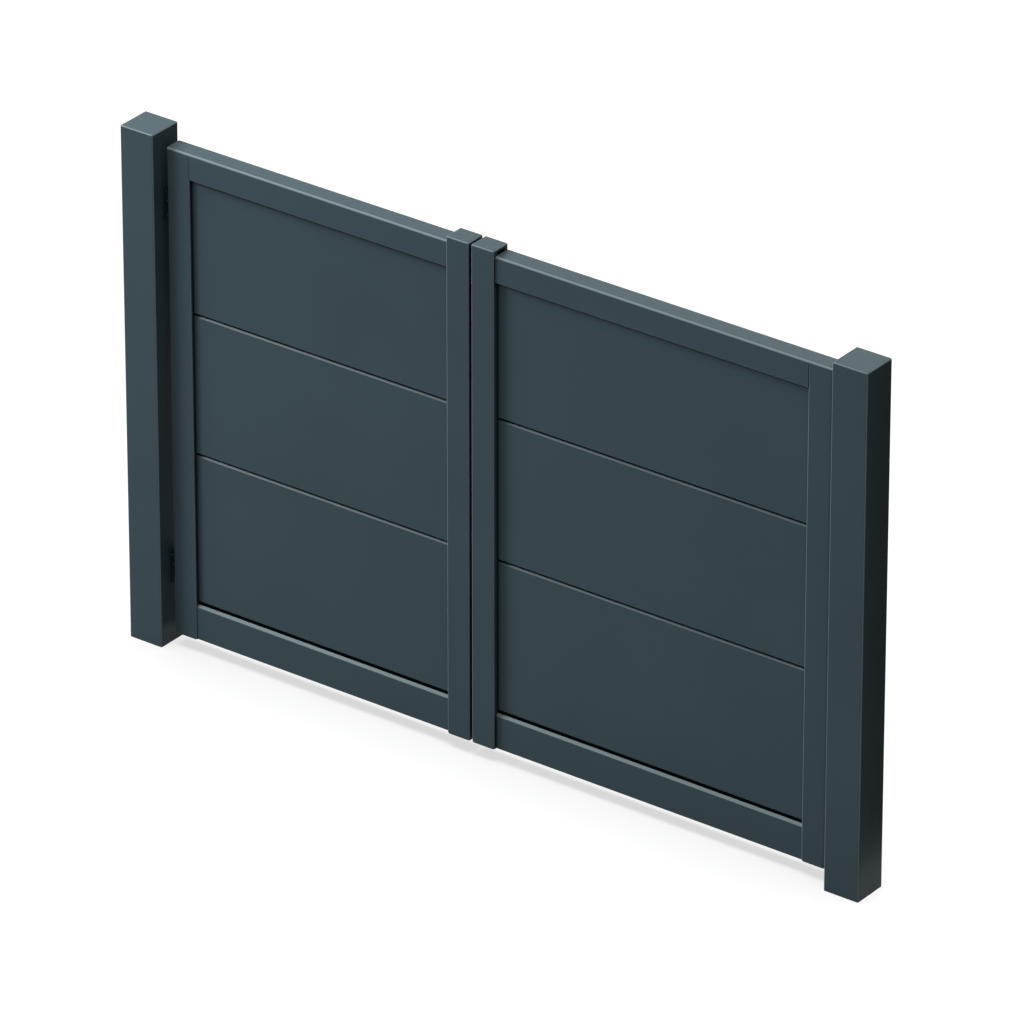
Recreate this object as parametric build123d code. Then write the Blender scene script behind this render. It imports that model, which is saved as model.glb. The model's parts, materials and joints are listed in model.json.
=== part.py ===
from build123d import *
import os

# Aluminium double swing gate: two square posts and two boarded leaves, all sizes in millimetres.
# X runs along the gate to the right, Y towards the yard at the rear, Z up.
# The origin is the middle of the left post's foot, at ground level.

# Posts
post_width = 150.0
post_height = 2110.0
post_wall = 4.0
post_corner_radius = 6.0
post_cap_thickness = 10.0
post_cap_edge_radius = 6.0
post_plug_depth = 30.0
foot_plate_thickness = 10.0
anchor_hole_diameter = 14.0
anchor_hole_spacing = 90.0

# Gateway and leaves
gateway_width = 3000.0
left_leaf_width = 1370.0
leaf_height = 2000.0
leaf_depth = 80.0
leaf_setback = 45.0
ground_clearance = 55.0
hinge_gap = 30.0
meeting_gap = 11.0

# Leaf frame
stile_width = 100.0
meeting_stile_rise = 22.0
meeting_stile_reveal = 8.0
top_rail_height = 94.0
bottom_rail_height = 150.0
bottom_rail_reveal = 5.0
weathering_rise = 15.0
weathering_edge_radius = 1.5
frame_wall = 3.0
frame_corner_radius = 6.0
capping_thickness = 12.0
capping_edge_radius = 10.0
capping_wall = 3.0
stile_cap_thickness = 12.0
stile_cap_radius = 6.0
stile_plug_depth = 25.0
foot_plug_thickness = 4.0
foot_plug_inset = 1.0
foot_plug_clip = 5.0
plug_wall = 2.5
plug_clearance = 0.3

# Planks
plank_recess = 15.0
plank_thickness = 40.0
plank_wall = 1.6
plank_seat = 20.0
plank_end_gap = 3.0
groove_clearance = 0.5
upper_plank_height = 550.0
middle_plank_height = 575.0
joint_gap_height = 9.0
joint_gap_depth = 13.0
gap_edge_radius = 1.5
joint_bevel = 6.0
rear_bevel = 3.0
tongue_width = 8.0
tongue_height = 12.0
tongue_clearance = 0.5
chambers_per_plank = 4

# Hinges
hinge_height = 120.0
hinge_inset = 250.0
knuckle_radius = 11.0
knuckle_gap = 0.5
wing_thickness = 5.0
wing_depth = 47.0
wing_setback = 13.0
wing_root = 17.0
wing_corner_radius = 4.0
pin_radius = 5.0
pin_clearance = 0.1
pin_rise = 4.0

# Places that several pieces share. A leaf is drawn with its hinge end at X = 0 and its
# meeting end towards +X; the left leaf is moved into place and the right one is mirrored.
post_half = post_width / 2
right_post_x = post_width + gateway_width
left_hinge_end_x = post_half + hinge_gap
right_hinge_end_x = right_post_x - post_half - hinge_gap
right_leaf_width = gateway_width - 2 * hinge_gap - meeting_gap - left_leaf_width

leaf_front_y = -post_half + leaf_setback
leaf_rear_y = leaf_front_y + leaf_depth
leaf_bottom_z = ground_clearance
leaf_top_z = leaf_bottom_z + leaf_height
frame_top_z = leaf_top_z - capping_thickness
top_rail_bottom_z = frame_top_z - top_rail_height
bottom_rail_top_z = leaf_bottom_z + bottom_rail_height
stile_bottom_z = leaf_bottom_z + foot_plug_thickness
meeting_stile_top_z = leaf_top_z + meeting_stile_rise - stile_cap_thickness

plank_front_y = leaf_front_y + plank_recess
plank_rear_y = plank_front_y + plank_thickness
plank_middle_y = (plank_front_y + plank_rear_y) / 2
upper_joint_z = top_rail_bottom_z - upper_plank_height
lower_joint_z = upper_joint_z - middle_plank_height

hinge_axis_x = -hinge_gap / 2
hinge_axis_y = leaf_rear_y
knuckle_height = (hinge_height - knuckle_gap) / 2


def block(x_range, y_range, z_range):
    """Box between two corners."""
    size = [high - low for low, high in (x_range, y_range, z_range)]
    middle = [(high + low) / 2 for low, high in (x_range, y_range, z_range)]
    return Pos(*middle) * Box(*size)


def rectangle(x_range, y_range):
    """Sketch rectangle between two corners."""
    size = [high - low for low, high in (x_range, y_range)]
    middle = [(high + low) / 2 for low, high in (x_range, y_range)]
    return Pos(*middle) * Rectangle(*size)


def outline(points):
    """Closed sketch face through straight sides."""
    return make_face(Polyline(*points, close=True))


def rounded(sketch, points, radius):
    """Sketch with its corners at the given points rounded."""
    corners = []
    for corner in sketch.vertices():
        if any((Vector(corner) - Vector(*point)).length < radius / 100 for point in points):
            corners.append(corner)
    return fillet(corners, radius)


def top_edges(shape):
    """Edges round the highest face."""
    return shape.faces().sort_by(Axis.Z)[-1].edges()


# Posts


def post_section():
    """Square outline of a post, with round corners."""
    return RectangleRounded(post_width, post_width, post_corner_radius)


def post_bore(inset):
    """Square hollow of a post, drawn in by an inset from the outside."""
    return Rectangle(post_width - 2 * inset, post_width - 2 * inset)


def post():
    """Square tube from the ground to the underside of its cap."""
    return extrude(post_section() - post_bore(post_wall), post_height - post_cap_thickness)


def post_cap():
    """Flat cap with a rounded rim, held by a hollow plug inside the tube."""
    seat_z = post_height - post_cap_thickness
    lid = Pos(0, 0, seat_z) * extrude(post_section(), post_cap_thickness)
    lid = fillet(top_edges(lid), post_cap_edge_radius)
    plug_inset = post_wall + plug_clearance
    plug = extrude(post_bore(plug_inset) - post_bore(plug_inset + plug_wall), post_plug_depth)
    return lid + Pos(0, 0, seat_z - post_plug_depth) * plug


def post_foot():
    """Plate welded inside the foot of the post, with four holes for anchor studs."""
    plate = extrude(post_bore(post_wall), foot_plate_thickness)
    stud_hole = Cylinder(anchor_hole_diameter / 2, 3 * foot_plate_thickness)
    return plate - GridLocations(anchor_hole_spacing, anchor_hole_spacing, 2, 2) * stud_hole


# Leaf frame


def frame_section(front_y, height, square_back=False, weathering=0.0):
    """Extruded frame section with a groove for the planks along one side.

    Drawn with Y of the leaf across the sketch and the distance from the plain side up it.
    A weathering slope takes the place of the hollow in the front lip.
    """
    groove_front = plank_front_y - groove_clearance
    groove_rear = plank_rear_y + groove_clearance
    groove_floor = height - plank_seat
    back_corners = [(front_y, 0), (leaf_rear_y, 0)]
    rear_lip = (leaf_rear_y, height)
    front_lip = (front_y, height - weathering)
    lip_crest = (groove_front, height)
    section = outline([
        *back_corners,
        rear_lip,
        (groove_rear, height),
        (groove_rear, groove_floor),
        (groove_front, groove_floor),
        lip_crest,
        front_lip,
    ])
    soft_corners = [rear_lip, front_lip] + ([] if square_back else back_corners)
    section = rounded(section, soft_corners, frame_corner_radius)
    section -= rectangle(
        (front_y + frame_wall, leaf_rear_y - frame_wall),
        (frame_wall, groove_floor - frame_wall),
    )
    lip_height = (groove_floor, height - frame_wall)
    section -= rectangle((groove_rear + frame_wall, leaf_rear_y - frame_wall), lip_height)
    if weathering:
        return rounded(section, [lip_crest], weathering_edge_radius)
    return section - rectangle((front_y + frame_wall, groove_front - frame_wall), lip_height)


def stile(section, outer_x, inward, bottom_z, top_z):
    """Upright of a frame section, its plain side at outer_x and its groove facing inward (+1 or -1)."""
    foot = bottom_z if inward < 0 else top_z
    face = Plane(origin=(outer_x, 0, foot), x_dir=(0, 1, 0), z_dir=(0, 0, -inward))
    return extrude(face * section, top_z - bottom_z)


def hinge_stile():
    """Upright at the hinges, under the capping."""
    return stile(frame_section(leaf_front_y, stile_width), 0, 1, stile_bottom_z, frame_top_z)


def meeting_stile(leaf_width):
    """Upright where the leaves meet: deeper at the front and taller than the rails."""
    section = frame_section(leaf_front_y - meeting_stile_reveal, stile_width)
    return stile(section, leaf_width, -1, stile_bottom_z, meeting_stile_top_z)


def top_rail(leaf_width):
    """Rail between the stiles with its groove facing down."""
    face = Plane(origin=(leaf_width - stile_width, 0, frame_top_z), x_dir=(0, 1, 0), z_dir=(-1, 0, 0))
    section = frame_section(leaf_front_y, top_rail_height, square_back=True)
    return extrude(face * section, leaf_width - 2 * stile_width)


def bottom_rail(leaf_width):
    """Rail between the stiles, set back a little, with a sloped upper edge that sheds water."""
    face = Plane(origin=(stile_width, 0, leaf_bottom_z), x_dir=(0, 1, 0), z_dir=(1, 0, 0))
    front_y = leaf_front_y + bottom_rail_reveal
    section = frame_section(front_y, bottom_rail_height, weathering=weathering_rise)
    return extrude(face * section, leaf_width - 2 * stile_width)


def top_capping(leaf_width):
    """Round-edged channel laid over the top rail and the hinge stile, closed at the hinge end."""
    inner_x = leaf_width - stile_width
    bar = block((0, inner_x), (leaf_front_y, leaf_rear_y), (frame_top_z, leaf_top_z))
    long_edges = top_edges(bar).filter_by(Axis.X)
    bar = fillet(long_edges, capping_edge_radius)
    hollow = block(
        (capping_wall, inner_x),
        (leaf_front_y + capping_edge_radius, leaf_rear_y - capping_edge_radius),
        (frame_top_z, leaf_top_z - capping_wall),
    )
    return bar - hollow


def stile_chamber(front_y, clearance, outer_x, inward):
    """Outline of a stile's main chamber, drawn in by a clearance."""
    near = outer_x + inward * (frame_wall + clearance)
    far = outer_x + inward * (stile_width - plank_seat - frame_wall - clearance)
    inset = frame_wall + clearance
    return rectangle((min(near, far), max(near, far)), (front_y + inset, leaf_rear_y - inset))


def stile_plug(front_y, outer_x, inward, base_z, depth):
    """Hollow plug that grips the main chamber of a stile."""
    outside = stile_chamber(front_y, plug_clearance, outer_x, inward)
    inside = stile_chamber(front_y, plug_clearance + plug_wall, outer_x, inward)
    return Pos(0, 0, base_z) * extrude(outside - inside, depth)


def stile_end(front_y, outer_x, inward, inset=0.0):
    """Square-cornered outline of a stile's end, drawn in by an inset."""
    near = outer_x + inward * inset
    far = outer_x + inward * (stile_width - inset)
    return rectangle((min(near, far), max(near, far)), (front_y + inset, leaf_rear_y - inset))


def meeting_stile_cap(leaf_width):
    """Round-edged cap on the meeting stile."""
    front_y = leaf_front_y - meeting_stile_reveal
    end = stile_end(front_y, leaf_width, -1)
    end = fillet(end.vertices(), stile_cap_radius)
    lid = Pos(0, 0, meeting_stile_top_z) * extrude(end, stile_cap_thickness)
    lid = fillet(top_edges(lid), stile_cap_radius)
    plug_z = meeting_stile_top_z - stile_plug_depth
    return lid + stile_plug(front_y, leaf_width, -1, plug_z, stile_plug_depth)


def stile_foot_plugs(leaf_width):
    """Pair of plugs that close the lower ends of the two stiles, level with the bottom rail."""
    plugs = []
    for front_y, outer_x, inward in (
        (leaf_front_y, 0, 1),
        (leaf_front_y - meeting_stile_reveal, leaf_width, -1),
    ):
        end = stile_end(front_y, outer_x, inward, foot_plug_inset)
        end = chamfer(end.vertices(), foot_plug_clip)
        plate = Pos(0, 0, leaf_bottom_z) * extrude(end, foot_plug_thickness)
        plug = plate + stile_plug(front_y, outer_x, inward, stile_bottom_z, stile_plug_depth)
        plugs.append(plug.solid())
    return Compound(plugs)


# Planks


def plank_section(bottom_z, top_z, gap_top_z, grooved, tongued):
    """Hollow plank in the YZ plane: a shadow gap and groove below, a bevel and tongue above."""
    gap_edge = (plank_front_y, gap_top_z)
    points = [
        gap_edge,
        (plank_front_y + joint_gap_depth, gap_top_z),
        (plank_front_y + joint_gap_depth, bottom_z),
    ]
    if grooved:
        slot_half = tongue_width / 2 + tongue_clearance
        slot_top = bottom_z + tongue_height + tongue_clearance
        points += [
            (plank_middle_y - slot_half, bottom_z),
            (plank_middle_y - slot_half, slot_top),
            (plank_middle_y + slot_half, slot_top),
            (plank_middle_y + slot_half, bottom_z),
        ]
    points += [
        (plank_rear_y - rear_bevel, bottom_z),
        (plank_rear_y, bottom_z + rear_bevel),
        (plank_rear_y, top_z - rear_bevel),
        (plank_rear_y - rear_bevel, top_z),
    ]
    if tongued:
        tongue_half = tongue_width / 2
        points += [
            (plank_middle_y + tongue_half, top_z),
            (plank_middle_y + tongue_half, top_z + tongue_height),
            (plank_middle_y - tongue_half, top_z + tongue_height),
            (plank_middle_y - tongue_half, top_z),
        ]
    bevel_edges = [(plank_front_y + joint_bevel, top_z), (plank_front_y, top_z - joint_bevel)]
    sharp_outline = outline(points + bevel_edges)
    hollow = offset(sharp_outline, -plank_wall, kind=Kind.INTERSECTION)
    section = rounded(sharp_outline, [gap_edge], gap_edge_radius) - hollow
    pitch = (top_z - gap_top_z) / chambers_per_plank
    for step in range(1, chambers_per_plank):
        web_z = gap_top_z + step * pitch
        section += rectangle((plank_front_y, plank_rear_y), (web_z, web_z + plank_wall))
    return section


def plank(leaf_width, bottom_z, top_z, gap_top_z, grooved, tongued):
    """Plank whose ends stand in the grooves of the two stiles."""
    reach = stile_width - plank_seat + plank_end_gap
    face = Plane(origin=(reach, 0, 0), x_dir=(0, 1, 0), z_dir=(1, 0, 0))
    section = plank_section(bottom_z, top_z, gap_top_z, grooved, tongued)
    return extrude(face * section, leaf_width - 2 * reach)


def planks(leaf_width):
    """Three planks standing on each other in the bottom rail's groove, by name."""
    foot_z = bottom_rail_top_z - plank_seat
    head_z = top_rail_bottom_z + plank_seat - plank_end_gap
    lower_gap_z = bottom_rail_top_z + joint_gap_height
    middle_gap_z = lower_joint_z + joint_gap_height
    upper_gap_z = upper_joint_z + joint_gap_height
    return {
        "lower_plank": plank(leaf_width, foot_z, lower_joint_z, lower_gap_z, False, True),
        "middle_plank": plank(leaf_width, lower_joint_z, upper_joint_z, middle_gap_z, True, True),
        "upper_plank": plank(leaf_width, upper_joint_z, head_z, upper_gap_z, True, False),
    }


# Hinges


def knuckle(face_x, inward, base_z, bore_radius):
    """Hinge eye joined to the root of its wing by tangent flanks."""
    wing_end_y = hinge_axis_y - wing_setback
    root_x = sorted((face_x, face_x + inward * wing_thickness))
    root = rectangle(root_x, (wing_end_y - wing_root, wing_end_y))
    eye = Pos(hinge_axis_x, hinge_axis_y) * Circle(knuckle_radius)
    flanks = make_hull(root.edges() + eye.edges())
    bore = Pos(hinge_axis_x, hinge_axis_y) * Circle(bore_radius)
    return Pos(0, 0, base_z) * extrude(flanks - bore, knuckle_height)


def wing(face_x, inward, base_z, eye):
    """Flat wing on a face, round at its free corners, fused with its eye."""
    wing_end_y = hinge_axis_y - wing_setback
    plate = block(
        sorted((face_x, face_x + inward * wing_thickness)),
        (wing_end_y - wing_depth, wing_end_y),
        (base_z, base_z + hinge_height),
    )
    free_end = plate.faces().sort_by(Axis.Y)[0]
    return fillet(free_end.edges().filter_by(Axis.X), wing_corner_radius) + eye


def hinge_pin(base_z):
    """Pin pressed into the lower eye and standing a little proud of the upper one."""
    pin = Cylinder(pin_radius, hinge_height + pin_rise, align=(Align.CENTER, Align.CENTER, Align.MIN))
    return Pos(hinge_axis_x, hinge_axis_y, base_z) * pin


def hinges():
    """Two lift-off hinges up the leaf, each with the lower eye on the post and the upper on the leaf."""
    lower_z = leaf_bottom_z + hinge_inset - hinge_height / 2
    upper_z = leaf_top_z - hinge_inset - hinge_height / 2
    pieces = {}
    for level, base_z in (("lower", lower_z), ("upper", upper_z)):
        post_eye = knuckle(-hinge_gap, 1, base_z, pin_radius)
        leaf_eye = knuckle(0, -1, base_z + knuckle_height + knuckle_gap, pin_radius + pin_clearance)
        pieces[f"{level}_hinge_post_wing"] = wing(-hinge_gap, 1, base_z, post_eye)
        pieces[f"{level}_hinge_leaf_wing"] = wing(0, -1, base_z, leaf_eye)
        pieces[f"{level}_hinge_pin"] = hinge_pin(base_z)
    return pieces


# Assembly


def leaf(leaf_width):
    """Pieces of one leaf and its hinges, by name."""
    return {
        "hinge_stile": hinge_stile(),
        "meeting_stile": meeting_stile(leaf_width),
        "top_rail": top_rail(leaf_width),
        "bottom_rail": bottom_rail(leaf_width),
        "top_capping": top_capping(leaf_width),
        "meeting_stile_cap": meeting_stile_cap(leaf_width),
        "stile_foot_plugs": stile_foot_plugs(leaf_width),
        **planks(leaf_width),
        **hinges(),
    }


def gate():
    """All pieces of the gate in place, by name."""
    pieces = {}
    for side, post_x in (("left", 0), ("right", right_post_x)):
        for name, shape in (("post", post()), ("post_cap", post_cap()), ("post_foot", post_foot())):
            pieces[f"{side}_{name}"] = Pos(post_x, 0, 0) * shape
    for name, shape in leaf(left_leaf_width).items():
        pieces[f"left_{name}"] = Pos(left_hinge_end_x, 0, 0) * shape
    for name, shape in leaf(right_leaf_width).items():
        pieces[f"right_{name}"] = Pos(right_hinge_end_x, 0, 0) * mirror(shape, about=Plane.YZ)
    return pieces


os.makedirs("parts", exist_ok=True)
for node, shape in gate().items():
    export_step(shape, f"parts/{node}.step")
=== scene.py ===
# %% [markdown]
# A driveway gate in anthracite aluminium.
# Two square posts carry two boarded leaves that swing to the rear on lift-off hinges. Every tube,
# plank, cap and hinge is already there at full size, in metres, so this lesson never moves one:
# it aims the camera, gives each piece its finish, adds the screws and then sets up the studio.

# %% Load the gate
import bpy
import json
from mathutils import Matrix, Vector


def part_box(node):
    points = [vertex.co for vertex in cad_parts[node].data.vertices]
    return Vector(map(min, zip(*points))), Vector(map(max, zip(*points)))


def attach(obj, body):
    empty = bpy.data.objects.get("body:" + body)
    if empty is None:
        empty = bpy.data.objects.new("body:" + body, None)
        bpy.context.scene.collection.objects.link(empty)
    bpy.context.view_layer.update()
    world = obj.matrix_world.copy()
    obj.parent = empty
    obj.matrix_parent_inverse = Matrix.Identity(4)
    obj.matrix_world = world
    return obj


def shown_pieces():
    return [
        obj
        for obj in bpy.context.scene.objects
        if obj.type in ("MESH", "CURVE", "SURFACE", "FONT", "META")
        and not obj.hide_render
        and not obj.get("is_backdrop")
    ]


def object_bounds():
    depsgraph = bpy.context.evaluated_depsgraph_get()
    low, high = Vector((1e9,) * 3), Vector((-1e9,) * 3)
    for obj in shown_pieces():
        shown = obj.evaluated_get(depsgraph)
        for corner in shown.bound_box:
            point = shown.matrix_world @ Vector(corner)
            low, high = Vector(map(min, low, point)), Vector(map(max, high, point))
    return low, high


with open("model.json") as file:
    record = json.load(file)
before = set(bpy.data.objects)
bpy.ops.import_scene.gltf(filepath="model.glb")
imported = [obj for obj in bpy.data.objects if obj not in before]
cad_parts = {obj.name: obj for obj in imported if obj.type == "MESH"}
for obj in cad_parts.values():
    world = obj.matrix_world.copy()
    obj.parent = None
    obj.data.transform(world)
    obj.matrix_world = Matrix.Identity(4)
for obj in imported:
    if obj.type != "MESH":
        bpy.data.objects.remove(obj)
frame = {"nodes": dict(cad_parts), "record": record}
cad_low, cad_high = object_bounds()
print("gate, width by depth by height in metres:", [round(side, 3) for side in cad_high - cad_low])

# %% [markdown]
# Camera.
# A catalogue picture of a gate is taken from far away with a long lens, so that its uprights stay
# nearly parallel. The camera could be placed by hand, but a direction (how far round, how far up)
# and a distance say more: turning the gate in the picture is then a change of one angle.

# %% Aim the camera
import math
import bpy
from mathutils import Matrix, Vector

turn = math.radians(36.68)
rise = math.radians(28.0)
camera_distance = 36.0
pixels_per_metre = 278.84
picture_width = 1024
farthest_view = 500.0
aim_offset = Vector((0.065, 0.0, -0.020))
gate_middle = (cad_low + cad_high) / 2
aim = gate_middle + aim_offset

toward_camera = Vector((
    math.sin(turn) * math.cos(rise),
    -math.cos(turn) * math.cos(rise),
    math.sin(rise),
))
camera_data = bpy.data.cameras.new("gate_camera")
camera_data.lens = camera_data.sensor_width * pixels_per_metre * camera_distance / picture_width
camera = bpy.data.objects.new("gate_camera", camera_data)
camera.location = aim + toward_camera * camera_distance
camera.rotation_euler = (-toward_camera).to_track_quat("-Z", "Y").to_euler()
camera_data.clip_end = farthest_view
bpy.context.scene.collection.objects.link(camera)
bpy.context.scene.camera = camera
print("lens in millimetres:", round(camera_data.lens, 1))

# %% [markdown]
# Tools for finishes.
# Each finish below starts from one surface shader and a few noise patterns. The patterns are read
# in the piece's own coordinates, which are metres here, so a scale of 250 means a pattern about 4
# mm across. A few small helpers keep the node code readable.

# %% Helpers for node materials
def new_finish(name):
    """Empty material with its node tree and its surface shader."""
    finish = bpy.data.materials.new(name)
    finish.use_nodes = True
    return finish, finish.node_tree, finish.node_tree.nodes["Principled BSDF"]


def add_node(tree, kind, inputs=(), **settings):
    """New node with its settings and unlinked inputs filled in."""
    node = tree.nodes.new(kind)
    for setting, value in settings.items():
        setattr(node, setting, value)
    for socket, value in dict(inputs).items():
        node.inputs[socket].default_value = value
    return node


def noise(tree, scale, detail=2.0, stretch=(1.0, 1.0, 1.0)):
    """Noise value between 0 and 1 in the piece's own metres, optionally stretched along an axis."""
    place = add_node(tree, "ShaderNodeTexCoord")
    mapping = add_node(tree, "ShaderNodeMapping", {"Scale": stretch})
    pattern = add_node(tree, "ShaderNodeTexNoise", {"Scale": scale, "Detail": detail})
    tree.links.new(place.outputs["Object"], mapping.inputs["Vector"])
    tree.links.new(mapping.outputs["Vector"], pattern.inputs["Vector"])
    return pattern.outputs["Fac"]


# %% Helpers that use a pattern
tone_stops = (0.3, 0.7)


def vary_colour(tree, pattern, dark, light, surface):
    """Base colour that drifts between two tones with a pattern."""
    ramp = add_node(tree, "ShaderNodeValToRGB")
    for stop, position, tone in zip(ramp.color_ramp.elements, tone_stops, (dark, light)):
        stop.position = position
        stop.color = (*tone, 1.0)
    tree.links.new(pattern, ramp.inputs["Fac"])
    tree.links.new(ramp.outputs["Color"], surface.inputs["Base Color"])


def vary_roughness(tree, pattern, low, high, surface):
    """Roughness that drifts between two values with a pattern."""
    spread = add_node(tree, "ShaderNodeMapRange", {"To Min": low, "To Max": high})
    tree.links.new(pattern, spread.inputs["Value"])
    tree.links.new(spread.outputs["Result"], surface.inputs["Roughness"])


def roughen(tree, pattern, height, strength, surface):
    """Relief of a given height in metres."""
    bump = add_node(tree, "ShaderNodeBump", {"Distance": height, "Strength": strength})
    tree.links.new(pattern, bump.inputs["Height"])
    tree.links.new(bump.outputs["Normal"], surface.inputs["Normal"])


def tint(tone, factor):
    """Tone made lighter or darker."""
    return tuple(channel * factor for channel in tone)


# %% [markdown]
# Powder coat.
# The tubes and planks are sprayed with a dry paint powder and baked, which leaves an even satin
# skin with a faint peel like an orange's. A flat colour would look like plastic, so the coat
# drifts by a few hundredths in tone over half a metre, its peel is relief, and the same peel
# makes the gloss uneven. A catalogue picture draws rounded edges lighter and joints darker than
# lamps alone make them. Two masks paint that light and shade into the base colour here: a painted
# highlight on the rounded edges, and painted shade in the joints and under ledges. Both are much
# stronger than on a real coat. A piece's own normals show where the edges are: on a flat face of
# the gate one of their three parts is 1, and on a rounded edge none is. The joints and the places
# under ledges, where shade falls, are found by how closed in they are.

# %% Find the rounded edges
flat_part = 0.99
rounded_part = 0.85
bevel_part = 0.715
beyond_bevel_part = 0.74
bevel_share = 0.35


def rounded_edges(tree):
    """1 on roundings, 0 on faces along an axis, and a share on flat bevels of 45 degrees."""
    place = add_node(tree, "ShaderNodeTexCoord")
    size = add_node(tree, "ShaderNodeVectorMath", operation="ABSOLUTE")
    parts = add_node(tree, "ShaderNodeSeparateXYZ")
    tree.links.new(place.outputs["Normal"], size.inputs[0])
    tree.links.new(size.outputs["Vector"], parts.inputs["Vector"])
    largest = parts.outputs["X"]
    for axis in ("Y", "Z"):
        larger = add_node(tree, "ShaderNodeMath", operation="MAXIMUM")
        tree.links.new(largest, larger.inputs[0])
        tree.links.new(parts.outputs[axis], larger.inputs[1])
        largest = larger.outputs["Value"]
    turned = add_node(
        tree, "ShaderNodeMapRange", {"From Min": flat_part, "From Max": rounded_part}
    )
    level = add_node(
        tree,
        "ShaderNodeMapRange",
        {"From Min": bevel_part, "From Max": beyond_bevel_part, "To Min": bevel_share},
    )
    both = add_node(tree, "ShaderNodeMath", operation="MULTIPLY")
    tree.links.new(largest, turned.inputs["Value"])
    tree.links.new(largest, level.inputs["Value"])
    tree.links.new(turned.outputs["Result"], both.inputs[0])
    tree.links.new(level.outputs["Result"], both.inputs[1])
    return both.outputs["Value"]


# %% Find the joints and the ledges
occlusion_samples = 8


def closed_in(tree, reach, lift, bounds):
    """1 where something stands within reach, looking up by a lift, and 0 in the open."""
    place = add_node(tree, "ShaderNodeNewGeometry")
    lifted = add_node(tree, "ShaderNodeVectorMath", {1: (0.0, 0.0, lift)}, operation="ADD")
    look = add_node(tree, "ShaderNodeVectorMath", operation="NORMALIZE")
    openness = add_node(
        tree, "ShaderNodeAmbientOcclusion", {"Distance": reach}, samples=occlusion_samples
    )
    closeness = add_node(
        tree, "ShaderNodeMapRange", {"From Min": bounds[0], "From Max": bounds[1]}
    )
    tree.links.new(place.outputs["Normal"], lifted.inputs[0])
    tree.links.new(lifted.outputs["Vector"], look.inputs[0])
    tree.links.new(look.outputs["Vector"], openness.inputs["Normal"])
    tree.links.new(openness.outputs["AO"], closeness.inputs["Value"])
    return closeness.outputs["Result"]


def painted_shade_mask(tree, edges):
    """Painted shade: 1 in tight joints and, away from rounded edges, under ledges, where shade
    falls.
    """
    joints = closed_in(tree, reach=0.006, lift=0.0, bounds=(0.80, 0.60))
    ledges = closed_in(tree, reach=0.022, lift=0.8, bounds=(0.68, 0.48))
    faces = add_node(tree, "ShaderNodeMath", {0: 1.0}, operation="SUBTRACT")
    under = add_node(tree, "ShaderNodeMath", operation="MULTIPLY")
    both = add_node(tree, "ShaderNodeMath", operation="MAXIMUM")
    tree.links.new(edges, faces.inputs[1])
    tree.links.new(ledges, under.inputs[0])
    tree.links.new(faces.outputs["Value"], under.inputs[1])
    tree.links.new(joints, both.inputs[0])
    tree.links.new(under.outputs["Value"], both.inputs[1])
    return both.outputs["Value"]


# %% Change the tone where a mask says so
def change_tone(tree, where, factors, surface):
    """Base colour multiplied by three factors, for red, green and blue, where a mask is 1."""
    colour = surface.inputs["Base Color"].links[0].from_socket
    changed = add_node(
        tree, "ShaderNodeMixRGB", {"Color2": (*factors, 1.0)}, blend_type="MULTIPLY"
    )
    tree.links.new(where, changed.inputs["Fac"])
    tree.links.new(colour, changed.inputs["Color1"])
    tree.links.new(changed.outputs["Color"], surface.inputs["Base Color"])


# %% Make the powder coat
anthracite = (0.036, 0.062, 0.075)
# Base colour factors for the painted highlight on rounded edges and for the painted shade in joints
# and under ledges.
painted_highlight_factors = (4.0, 3.05, 2.7)
painted_shade_factors = (0.08, 0.08, 0.08)
coat_mirror = 0.1


def powder_coat():
    finish, tree, surface = new_finish("satin_powder_coat")
    drift = noise(tree, scale=2.0, detail=4.0)
    peel = noise(tree, scale=260.0, detail=1.0)
    vary_colour(tree, drift, tint(anthracite, 0.95), tint(anthracite, 1.05), surface)
    edges = rounded_edges(tree)
    # Painted highlight: rounded edges are made lighter in the base colour.
    change_tone(tree, edges, painted_highlight_factors, surface)
    # Painted shade: joints and the places under ledges are made darker in the base colour.
    change_tone(tree, painted_shade_mask(tree, edges), painted_shade_factors, surface)
    vary_roughness(tree, peel, 0.36, 0.44, surface)
    roughen(tree, peel, height=0.00006, strength=0.35, surface=surface)
    surface.inputs["Specular IOR Level"].default_value = coat_mirror
    return finish


finishes = {"powder_coat": powder_coat()}
print("made", finishes["powder_coat"].name)

# %% [markdown]
# Metal and plastic of the small pieces.
# The hinge pins are turned from stainless steel, so fine rings run round them. The foot plates
# are cut from mill-finish bar, where the rolls leave streaks along one side. The plugs under the
# stiles are moulded black plastic with a matt grain. All three use the same helpers with other
# scales and stretches.

# %% Make the small finishes
steel_grey = (0.50, 0.50, 0.51)
mill_grey = (0.60, 0.61, 0.62)
plug_black = (0.020, 0.022, 0.024)


def turned_steel():
    finish, tree, surface = new_finish("turned_stainless_steel")
    rings = noise(tree, scale=60.0, stretch=(1.0, 1.0, 60.0))
    vary_colour(tree, rings, tint(steel_grey, 0.85), tint(steel_grey, 1.1), surface)
    vary_roughness(tree, rings, 0.25, 0.4, surface)
    roughen(tree, rings, height=0.00003, strength=0.4, surface=surface)
    surface.inputs["Metallic"].default_value = 1.0
    return finish


def mill_aluminium():
    finish, tree, surface = new_finish("mill_aluminium")
    streaks = noise(tree, scale=40.0, detail=4.0, stretch=(1.0, 30.0, 1.0))
    vary_colour(tree, streaks, tint(mill_grey, 0.88), tint(mill_grey, 1.08), surface)
    vary_roughness(tree, streaks, 0.32, 0.48, surface)
    roughen(tree, streaks, height=0.00004, strength=0.3, surface=surface)
    surface.inputs["Metallic"].default_value = 1.0
    return finish


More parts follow.
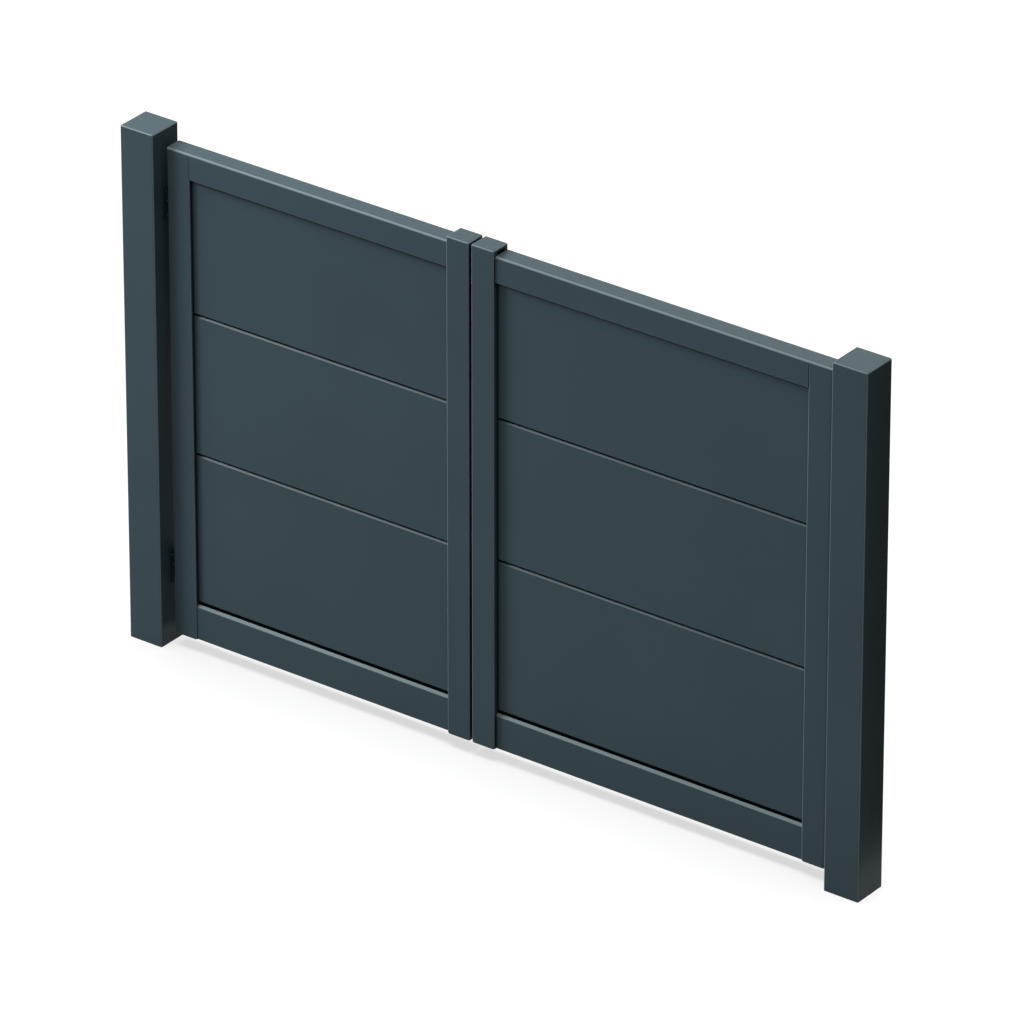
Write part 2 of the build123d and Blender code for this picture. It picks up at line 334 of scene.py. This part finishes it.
def plug_plastic():
    finish, tree, surface = new_finish("moulded_black_plastic")
    grain = noise(tree, scale=700.0, detail=2.0)
    vary_colour(tree, grain, tint(plug_black, 0.8), tint(plug_black, 1.3), surface)
    vary_roughness(tree, grain, 0.55, 0.7, surface)
    roughen(tree, grain, height=0.00008, strength=0.5, surface=surface)
    return finish


finishes["hinge_pin_steel"] = turned_steel()
finishes["mill_aluminium"] = mill_aluminium()
finishes["plug_plastic"] = plug_plastic()
print("finishes:", sorted(finishes))

# %% [markdown]
# Finish on every piece.
# The record names a finish for each piece of the gate, so a loop can dress them all. Only the
# material slot changes, and the pieces stay as they are.

# %% Dress the gate
for subpart in frame["record"]["subparts"]:
    piece = frame["nodes"][subpart["node"]]
    piece.material_slots[0].material = finishes[subpart["material_slot"]]

# %% [markdown]
# Hinge screws.
# Each hinge wing is held by four button-head screws, coated with it. A screw head is a low dome
# with a six-sided socket. It could be a cylinder with a hole cut by a boolean, but rings of
# points are lighter and always close: the first rings follow the dome, the next pair are hexagons
# that form the socket, and a flat face closes its floor.

# %% Draw one screw head
import bmesh

head_radius = 0.0052
head_height = 0.0029
socket_half_width = 0.0021
socket_depth = 0.0017
ring_points = 24
dome_rings = 5
crown_share = 0.55
dome_fall = 0.75


def hexagon_radius(angle):
    """Distance from the middle to the side of the socket in a direction."""
    from_side = (angle + math.pi / 6) % (math.pi / 3) - math.pi / 6
    return socket_half_width / math.cos(from_side)


def head_rings():
    """Radius rule and height of each ring, from the wing's face up the dome and into the socket."""
    rings = [(lambda angle: head_radius, 0.0)]
    crown_radius = head_radius * crown_share
    for step in range(1, dome_rings + 1):
        radius = head_radius + (crown_radius - head_radius) * step / dome_rings
        height = head_height * math.sqrt(1 - (radius / head_radius) ** 2 * dome_fall)
        rings.append((lambda angle, radius=radius: radius, height))
    crown = rings[-1][1]
    rings.append((hexagon_radius, crown))
    rings.append((hexagon_radius, crown - socket_depth))
    return rings


# %% Draw a screw in a mesh
def add_screw(mesh, place):
    """Screw head at a place whose Z points out of the wing."""
    loops = []
    angles = [2 * math.pi * point / ring_points for point in range(ring_points)]
    for radius_at, height in head_rings():
        loop = []
        for angle in angles:
            radius = radius_at(angle)
            spot = Vector((radius * math.cos(angle), radius * math.sin(angle), height))
            loop.append(mesh.verts.new(place @ spot))
        loops.append(loop)
    for low, high in zip(loops, loops[1:]):
        for point in range(ring_points):
            after = (point + 1) % ring_points
            mesh.faces.new((low[point], low[after], high[after], high[point]))
    mesh.faces.new(reversed(loops[0]))
    mesh.faces.new(loops[-1])


# %% [markdown]
# Where the screws go.
# A wing's flat plate shows at its free end, at the front, so the points of its mesh there give
# the two faces of the plate. The face that looks into the gap is the one nearer the hinge pin.
# The four screws stand in a zigzag up the plate, clear of the eye.

# %% Find the places on a wing
screw_count = 4
front_margin = 0.010
zigzag = 0.010
end_margin = 0.016


def screw_places(wing, pin):
    """Places of the screws on a wing, each with Z into the hinge gap."""
    low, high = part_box(wing)
    points = [vertex.co for vertex in frame["nodes"][wing].data.vertices]
    plate = [point.x for point in points if point.y < low.y + front_margin]
    pin_x = sum(corner.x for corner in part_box(pin)) / 2
    face_x = min(plate, key=lambda x: abs(x - pin_x))
    outward = Vector((math.copysign(1.0, pin_x - face_x), 0.0, 0.0))
    turn_out = outward.to_track_quat("Z", "Y").to_matrix().to_4x4()
    pitch = (high.z - low.z - 2 * end_margin) / (screw_count - 1)
    for row in range(screw_count):
        y = low.y + front_margin + zigzag * (row % 2)
        z = low.z + end_margin + pitch * row
        yield Matrix.Translation((face_x, y, z)) @ turn_out


# %% Fit the screws
def fit_screws(body, wings):
    """All screws that move with one body, as one joined mesh."""
    mesh = bmesh.new()
    for wing in wings:
        pin = wing.replace("post_wing", "pin").replace("leaf_wing", "pin")
        for place in screw_places(wing, pin):
            add_screw(mesh, place)
    data = bpy.data.meshes.new(f"{body}_hinge_screws")
    mesh.to_mesh(data)
    mesh.free()
    screws = bpy.data.objects.new(f"{body}_hinge_screws", data)
    bpy.context.scene.collection.objects.link(screws)
    data.materials.append(finishes["powder_coat"])
    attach(screws, body)
    return screws


for body, members in frame["record"]["behaviour"]["bodies"].items():
    wings = [node for node in members if node.endswith("_wing")]
    screws = fit_screws(body, wings)
    print(screws.name, "triangles:", sum(len(face.vertices) - 2 for face in screws.data.polygons))

# %% [markdown]
# Studio floor and background.
# The picture has a white ground with only a soft shadow under the gate. A white floor lit until
# it burns out would also flood the gate with light from below. So the floor is a pale grey that
# catches the shadow, and it glows only for rays that come from the camera or from a mirror-like
# bounce.

# %% Tell which rays see the white ground
def seen_ray(tree):
    """1 for rays from the camera, a mirror or a clear surface, 0 for light that bounces about."""
    path = add_node(tree, "ShaderNodeLightPath")
    mirror = add_node(tree, "ShaderNodeMath", operation="MAXIMUM")
    seen = add_node(tree, "ShaderNodeMath", operation="MAXIMUM")
    tree.links.new(path.outputs["Is Glossy Ray"], mirror.inputs[0])
    tree.links.new(path.outputs["Is Transmission Ray"], mirror.inputs[1])
    tree.links.new(path.outputs["Is Camera Ray"], seen.inputs[0])
    tree.links.new(mirror.outputs["Value"], seen.inputs[1])
    return seen.outputs["Value"]


# %% Lay the floor
floor_tone = 0.38
floor_grain = 0.01
floor_glow = 0.67
floor_half = 300.0


def floor_finish():
    finish = bpy.data.materials.new("pale_studio_floor")
    finish.use_nodes = True
    tree = finish.node_tree
    tree.nodes.clear()
    grain = noise(tree, scale=3.0)
    darkest, lightest = floor_tone * (1 - floor_grain), floor_tone * (1 + floor_grain)
    tones = add_node(tree, "ShaderNodeMapRange", {"To Min": darkest, "To Max": lightest})
    matt = add_node(tree, "ShaderNodeBsdfDiffuse")
    glow = add_node(tree, "ShaderNodeEmission")
    strength = add_node(tree, "ShaderNodeMath", {1: floor_glow}, operation="MULTIPLY")
    both = add_node(tree, "ShaderNodeAddShader")
    output = add_node(tree, "ShaderNodeOutputMaterial")
    tree.links.new(grain, tones.inputs["Value"])
    tree.links.new(tones.outputs["Result"], matt.inputs["Color"])
    tree.links.new(seen_ray(tree), strength.inputs[0])
    tree.links.new(strength.outputs["Value"], glow.inputs["Strength"])
    tree.links.new(matt.outputs["BSDF"], both.inputs[0])
    tree.links.new(glow.outputs["Emission"], both.inputs[1])
    tree.links.new(both.outputs["Shader"], output.inputs["Surface"])
    return finish


floor_data = bpy.data.meshes.new("studio_floor")
signs = [(-1, -1), (1, -1), (1, 1), (-1, 1)]
corners = [(x * floor_half, y * floor_half, cad_low.z) for x, y in signs]
floor_data.from_pydata(corners, [], [(0, 1, 2, 3)])
floor_data.materials.append(floor_finish())
floor = bpy.data.objects.new("studio_floor", floor_data)
bpy.context.scene.collection.objects.link(floor)
floor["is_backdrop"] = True
print("floor at height", round(cad_low.z, 4))

# %% Colour the surroundings
ambient_tone = (0.92, 0.96, 1.0)
ambient_level = 0.04

world = bpy.data.worlds.new("studio_surroundings")
world.use_nodes = True
bpy.context.scene.world = world
air = world.node_tree
air.nodes.clear()
ambient = add_node(
    air, "ShaderNodeBackground", {"Color": (*ambient_tone, 1.0), "Strength": ambient_level}
)
white = add_node(air, "ShaderNodeBackground", {"Color": (1.0, 1.0, 1.0, 1.0), "Strength": 1.0})
choice = add_node(air, "ShaderNodeMixShader")
air_output = add_node(air, "ShaderNodeOutputWorld")
air.links.new(seen_ray(air), choice.inputs["Fac"])
air.links.new(ambient.outputs["Background"], choice.inputs[1])
air.links.new(white.outputs["Background"], choice.inputs[2])
air.links.new(choice.outputs["Shader"], air_output.inputs["Surface"])
print("ambient light", ambient_level)

# %% [markdown]
# Black cards.
# On a white ground the rounded outer edges of the gate would mirror the ground and fade into it,
# and so would the right-hand side of a post. A photographer stands black cards just out of the
# picture, so that those faces mirror them. The two cards here are hidden from the camera and cast
# no shadow. The one beside the right post also keeps light that bounces off the floor away from
# it. The one behind the gate, clear of the swing of the leaves, shows only in reflections.

# %% Make a card
card_black = (0.010, 0.011, 0.012)
card_mirror = 0.1


def card_finish():
    finish, tree, surface = new_finish("matt_black_card")
    fibre = noise(tree, scale=200.0, detail=3.0)
    vary_colour(tree, fibre, tint(card_black, 0.7), tint(card_black, 1.3), surface)
    vary_roughness(tree, fibre, 0.8, 0.95, surface)
    surface.inputs["Specular IOR Level"].default_value = card_mirror
    return finish


def stand_card(name, start, end, finish):
    """Card as tall as the gate between two places on the floor, hidden from the camera."""
    data = bpy.data.meshes.new(name)
    foot = [(*start, cad_low.z), (*end, cad_low.z)]
    head = [(*end, cad_high.z), (*start, cad_high.z)]
    data.from_pydata(foot + head, [], [(0, 1, 2, 3)])
    data.materials.append(finish)
    card = bpy.data.objects.new(name, data)
    card.visible_camera = False
    card.visible_shadow = False
    bpy.context.scene.collection.objects.link(card)
    card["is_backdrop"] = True
    return card


# %% Stand the cards
side_gap = 0.15
rear_gap = 2.0
overlap = 0.5

black_card = card_finish()
side_x = cad_high.x + side_gap
rear_y = cad_high.y + rear_gap
side_ends = (side_x, cad_low.y), (side_x, cad_high.y + overlap)
rear_ends = (cad_low.x - overlap, rear_y), (cad_high.x, rear_y)
side_card = stand_card("side_card", *side_ends, black_card)
rear_card = stand_card("rear_card", *rear_ends, black_card)
rear_card.visible_diffuse = False
print("cards:", side_card.name, rear_card.name)

# %% [markdown]
# Light.
# The gate is lit from the left, above and a little in front, so that the tops are the lightest
# faces, the fronts are plain, the right-hand sides fall into shade and the left post shades the
# stile next to it. A round lamp some way off does that and draws a bright line along every
# rounded edge. A wide overhead light, like an overcast sky, lights the tops. The floor has a
# light of its own straight above it, so that only the narrow shadow under the leaves shows. A
# fourth lamp stands behind, for pictures of the back. Light linking keeps each lamp on the things
# it is meant for.

# %% Choose what the lamps light
def lit_group(name, things):
    """Group of things that a lamp can be linked to."""
    group = bpy.data.collections.new(name)
    for thing in things:
        group.objects.link(thing)
    return group


gate_group = lit_group("lit_gate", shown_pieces())
floor_group = lit_group("lit_floor", [floor])


def hang(name, data, direction, group, distance=0.0):
    """Lamp in a direction from the middle of the gate, shining back on one group of things."""
    lamp = bpy.data.objects.new(name, data)
    way = Vector(direction).normalized()
    lamp.location = gate_middle + way * distance
    lamp.rotation_euler = way.to_track_quat("Z", "Y").to_euler()
    lamp.light_linking.receiver_collection = group
    bpy.context.scene.collection.objects.link(lamp)


# %% Hang the round lamp
lamp_distance = 12.0
lamp_level = 4.35
lamp_size = 4.5
lamp_direction = (-0.82, -0.31, 0.56)

round_lamp = bpy.data.lights.new("round_lamp", "AREA")
round_lamp.shape = "DISK"
round_lamp.size = lamp_size
round_lamp.energy = lamp_level * math.pi * lamp_distance ** 2
hang("round_lamp", round_lamp, lamp_direction, gate_group, lamp_distance)
print("round lamp, watts:", round(round_lamp.energy))


# %% Hang the wide lights
def wide_light(name, tone, level, spread):
    """Even light from far away, as soft as its spread in degrees."""
    data = bpy.data.lights.new(name, "SUN")
    data.color = tone
    data.energy = level
    data.angle = math.radians(spread)
    return data


warm_white = (1.0, 0.92, 0.87)
plain_white = (1.0, 1.0, 1.0)
above = (0.0, 0.0, 1.0)
behind = (-0.3, 0.95, 0.2)

overhead_light = wide_light("overhead_light", warm_white, level=3.1, spread=60.0)
floor_light = wide_light("floor_light", plain_white, level=3.8, spread=45.0)
back_light = wide_light("back_light", plain_white, level=1.2, spread=30.0)
hang("overhead_light", overhead_light, above, gate_group)
hang("floor_light", floor_light, above, floor_group)
hang("back_light", back_light, behind, gate_group)

# %% [markdown]
# Picture settings.
# The standard view keeps colours as they are written. The screws stand inside the box of the gate.

# %% Finish
import json

bpy.context.scene.view_settings.view_transform = "Standard"
